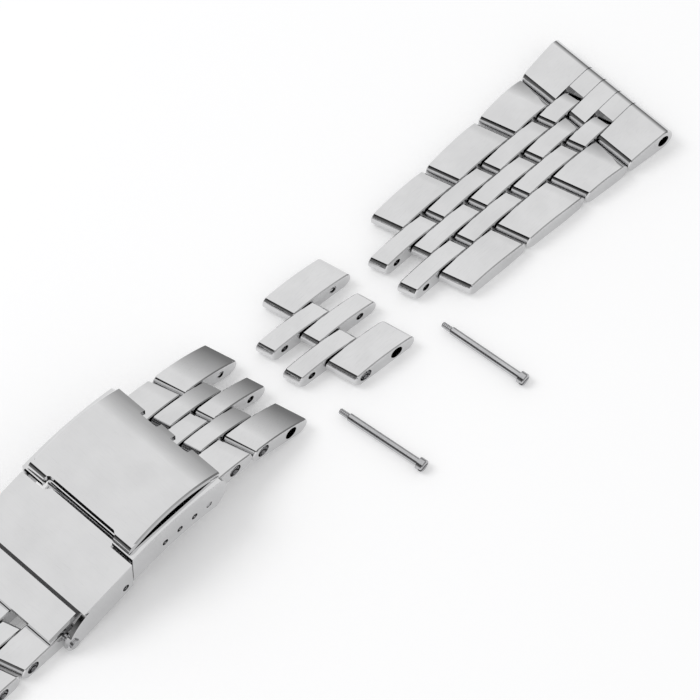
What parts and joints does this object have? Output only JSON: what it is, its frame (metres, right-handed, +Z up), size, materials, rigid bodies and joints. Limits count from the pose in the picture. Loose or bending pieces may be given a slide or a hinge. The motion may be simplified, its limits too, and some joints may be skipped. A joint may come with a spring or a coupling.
{
  "type": "link watch bracelet",
  "caption": "Tapered five-column steel link watch bracelet with slanted pinned links, a folding safety clasp with a convex cover, and a removed row with its loose link screws beside it.",
  "frame": {"origin": "under the middle of the laid-out bracelet's bounding box, on the table it lies on", "axes": "+X along the clasp towards the end link of the opened half, +Y towards the left side of the links, +Z up out of the outer face"},
  "size_m": [0.1628, 0.0368, 0.0118],
  "materials": {
    "link_steel": "mirror polished",
    "clasp_steel": "mirror polished sheet",
    "blade_steel": "brushed along its length",
    "pin_steel": "turned"
  },
  "bodies": {
    "clasp_box": {"box_frame": "clasp_steel", "cover_plate": "clasp_steel", "spring_bar": "pin_steel", "box_hinge_pin": "pin_steel"},
    "middle_fold": {"middle_blade": "blade_steel"},
    "lower_fold": {"lower_blade": "blade_steel", "fold_hinge_pin": "pin_steel", "end_bridge": "clasp_steel", "clasp_end_pin": "pin_steel"},
    "safety_catch": {"safety_flap": "clasp_steel", "flap_pivot_studs": "pin_steel"},
    "clasp_row": {"clasp_row_left_link": "link_steel", "clasp_row_centre_link": "link_steel", "clasp_row_right_link": "link_steel", "clasp_row_screw": "pin_steel"},
    "clasp_narrow": {"clasp_narrow_links": "link_steel"},
    "free_row": {"free_row_left_link": "link_steel", "free_row_centre_link": "link_steel", "free_row_right_link": "link_steel", "free_row_screw": "pin_steel"},
    "removed_row": {"removed_row_left_link": "link_steel", "removed_row_centre_link": "link_steel", "removed_row_right_link": "link_steel", "removed_row_screw": "pin_steel"},
    "removed_narrow": {"removed_narrow_links": "link_steel"},
    "loose_screw_1": {"loose_screw_1": "pin_steel"},
    "loose_screw_2": {"loose_screw_2": "pin_steel"},
    "upper_end": {"upper_end_link": "link_steel", "upper_end_pin": "pin_steel"},
    "upper_narrow_0": {"upper_narrow_links_0": "link_steel"},
    "upper_row_1": {"upper_row_1_left_link": "link_steel", "upper_row_1_centre_link": "link_steel", "upper_row_1_right_link": "link_steel", "upper_row_1_pins": "pin_steel"},
    "upper_narrow_1": {"upper_narrow_links_1": "link_steel"},
    "upper_row_2": {"upper_row_2_left_link": "link_steel", "upper_row_2_centre_link": "link_steel", "upper_row_2_right_link": "link_steel", "upper_row_2_pins": "pin_steel"},
    "upper_narrow_2": {"upper_narrow_links_2": "link_steel"},
    "upper_row_3": {"upper_row_3_left_link": "link_steel", "upper_row_3_centre_link": "link_steel", "upper_row_3_right_link": "link_steel", "upper_row_3_pins": "pin_steel"},
    "upper_narrow_3": {"upper_narrow_links_3": "link_steel"},
    "other_row_4": {"other_row_4_links": "link_steel", "other_row_4_pins": "pin_steel"},
    "other_narrow_3": {"other_narrow_links_3": "link_steel"},
    "other_row_3": {"other_row_3_links": "link_steel", "other_row_3_pins": "pin_steel"},
    "other_narrow_2": {"other_narrow_links_2": "link_steel"},
    "other_row_2": {"other_row_2_links": "link_steel", "other_row_2_pins": "pin_steel"},
    "other_narrow_1": {"other_narrow_links_1": "link_steel"},
    "other_row_1": {"other_row_1_links": "link_steel", "other_row_1_pins": "pin_steel"},
    "other_narrow_0": {"other_narrow_links_0": "link_steel"},
    "other_end": {"other_end_link": "link_steel", "other_end_pin": "pin_steel"}
  },
  "joints": [
    {"name": "box_hinge", "type": "hinge", "parent": "clasp_box", "child": "middle_fold", "pos_m": [-0.0193, 0.00741, 0.00545], "axis": [0, 1, 0], "range_deg": [0, 150]},
    {"name": "blade_fold", "type": "hinge", "parent": "middle_fold", "child": "lower_fold", "pos_m": [-0.0099, 0.00741, 0.00335], "axis": [0, -1, 0], "range_deg": [0, 150]},
    {"name": "safety_flap_hinge", "type": "hinge", "parent": "lower_fold", "child": "safety_catch", "pos_m": [-0.0331, 0.00741, 0.0014], "axis": [0, -1, 0], "range_deg": [0, 90]},
    {"name": "clasp_row_hinge", "type": "hinge", "parent": "clasp_box", "child": "clasp_row", "pos_m": [-0.0077, 0.00741, 0.00591], "axis": [0, 1, 0], "range_deg": [-5, 25]},
    {"name": "clasp_narrow_hinge", "type": "hinge", "parent": "clasp_row", "child": "clasp_narrow", "pos_m": [-0.00138, 0.00741, 0.00536], "axis": [0, 1, 0], "range_deg": [-8, 25]},
    {"name": "free_row_hinge", "type": "hinge", "parent": "clasp_narrow", "child": "free_row", "pos_m": [0.00399, 0.00741, 0.00395], "axis": [0, 1, 0], "range_deg": [-8, 25]},
    {"name": "removed_row_lift", "type": "slide", "parent": "clasp_box", "child": "removed_row", "axis": [0, 0, 1], "range_m": [0, 0.03]},
    {"name": "removed_row_hinge", "type": "hinge", "parent": "removed_row", "child": "removed_narrow", "pos_m": [0.02392, 0.00664, 0.0014], "axis": [-0.0924, -0.9957, 0], "range_deg": [-10, 28]},
    {"name": "loose_screw_1_lift", "type": "slide", "parent": "clasp_box", "child": "loose_screw_1", "axis": [0, 0, 1], "range_m": [0, 0.03]},
    {"name": "loose_screw_2_lift", "type": "slide", "parent": "clasp_box", "child": "loose_screw_2", "axis": [0, 0, 1], "range_m": [0, 0.03]},
    {"name": "upper_half_lift", "type": "slide", "parent": "clasp_box", "child": "upper_end", "axis": [0, 0, 1], "range_m": [0, 0.03]},
    {"name": "upper_hinge_0", "type": "hinge", "parent": "upper_end", "child": "upper_narrow_0", "pos_m": [0.07488, 0.00476, 0.0014], "axis": [-0.0244, -0.9997, 0], "range_deg": [-10, 28]},
    {"name": "upper_hinge_1", "type": "hinge", "parent": "upper_narrow_0", "child": "upper_row_1", "pos_m": [0.07115, 0.00485, 0.0014], "axis": [-0.0244, -0.9997, 0], "range_deg": [-10, 28]},
    {"name": "upper_hinge_2", "type": "hinge", "parent": "upper_row_1", "child": "upper_narrow_1", "pos_m": [0.06684, 0.00496, 0.0014], "axis": [-0.0244, -0.9997, 0], "range_deg": [-10, 28]},
    {"name": "upper_hinge_3", "type": "hinge", "parent": "upper_narrow_1", "child": "upper_row_2", "pos_m": [0.06129, 0.00509, 0.0014], "axis": [-0.0244, -0.9997, 0], "range_deg": [-10, 28]},
    {"name": "upper_hinge_4", "type": "hinge", "parent": "upper_row_2", "child": "upper_narrow_2", "pos_m": [0.05575, 0.00523, 0.0014], "axis": [-0.0244, -0.9997, 0], "range_deg": [-10, 28]},
    {"name": "upper_hinge_5", "type": "hinge", "parent": "upper_narrow_2", "child": "upper_row_3", "pos_m": [0.0502, 0.00536, 0.0014], "axis": [-0.0244, -0.9997, 0], "range_deg": [-10, 28]},
    {"name": "upper_hinge_6", "type": "hinge", "parent": "upper_row_3", "child": "upper_narrow_3", "pos_m": [0.04465, 0.0055, 0.0014], "axis": [-0.0244, -0.9997, 0], "range_deg": [-10, 28]},
    {"name": "other_hinge_8", "type": "hinge", "parent": "lower_fold", "child": "other_row_4", "pos_m": [-0.0331, 0.00741, 0.0014], "axis": [0, -1, 0], "range_deg": [-3, 24]},
    {"name": "other_hinge_7", "type": "hinge", "parent": "other_row_4", "child": "other_narrow_3", "pos_m": [-0.03935, 0.00741, 0.0014], "axis": [0, -1, 0], "range_deg": [-10, 24]},
    {"name": "other_hinge_6", "type": "hinge", "parent": "other_narrow_3", "child": "other_row_3", "pos_m": [-0.0449, 0.00741, 0.0014], "axis": [0, -1, 0], "range_deg": [-10, 24]},
    {"name": "other_hinge_5", "type": "hinge", "parent": "other_row_3", "child": "other_narrow_2", "pos_m": [-0.05045, 0.00741, 0.0014], "axis": [0, -1, 0], "range_deg": [-10, 24]},
    {"name": "other_hinge_4", "type": "hinge", "parent": "other_narrow_2", "child": "other_row_2", "pos_m": [-0.056, 0.00741, 0.0014], "axis": [0, -1, 0], "range_deg": [-10, 24]},
    {"name": "other_hinge_3", "type": "hinge", "parent": "other_row_2", "child": "other_narrow_1", "pos_m": [-0.06155, 0.00741, 0.0014], "axis": [0, -1, 0], "range_deg": [-10, 24]},
    {"name": "other_hinge_2", "type": "hinge", "parent": "other_narrow_1", "child": "other_row_1", "pos_m": [-0.0671, 0.00741, 0.0014], "axis": [0, -1, 0], "range_deg": [-10, 24]},
    {"name": "other_hinge_1", "type": "hinge", "parent": "other_row_1", "child": "other_narrow_0", "pos_m": [-0.07141, 0.00741, 0.0014], "axis": [0, -1, 0], "range_deg": [-10, 24]},
    {"name": "other_hinge_0", "type": "hinge", "parent": "other_narrow_0", "child": "other_end", "pos_m": [-0.07514, 0.00741, 0.0014], "axis": [0, -1, 0], "range_deg": [-10, 24]}
  ],
  "couplings": [
    {"joint": "blade_fold", "follows": "box_hinge", "ratio": 1}
  ]
}
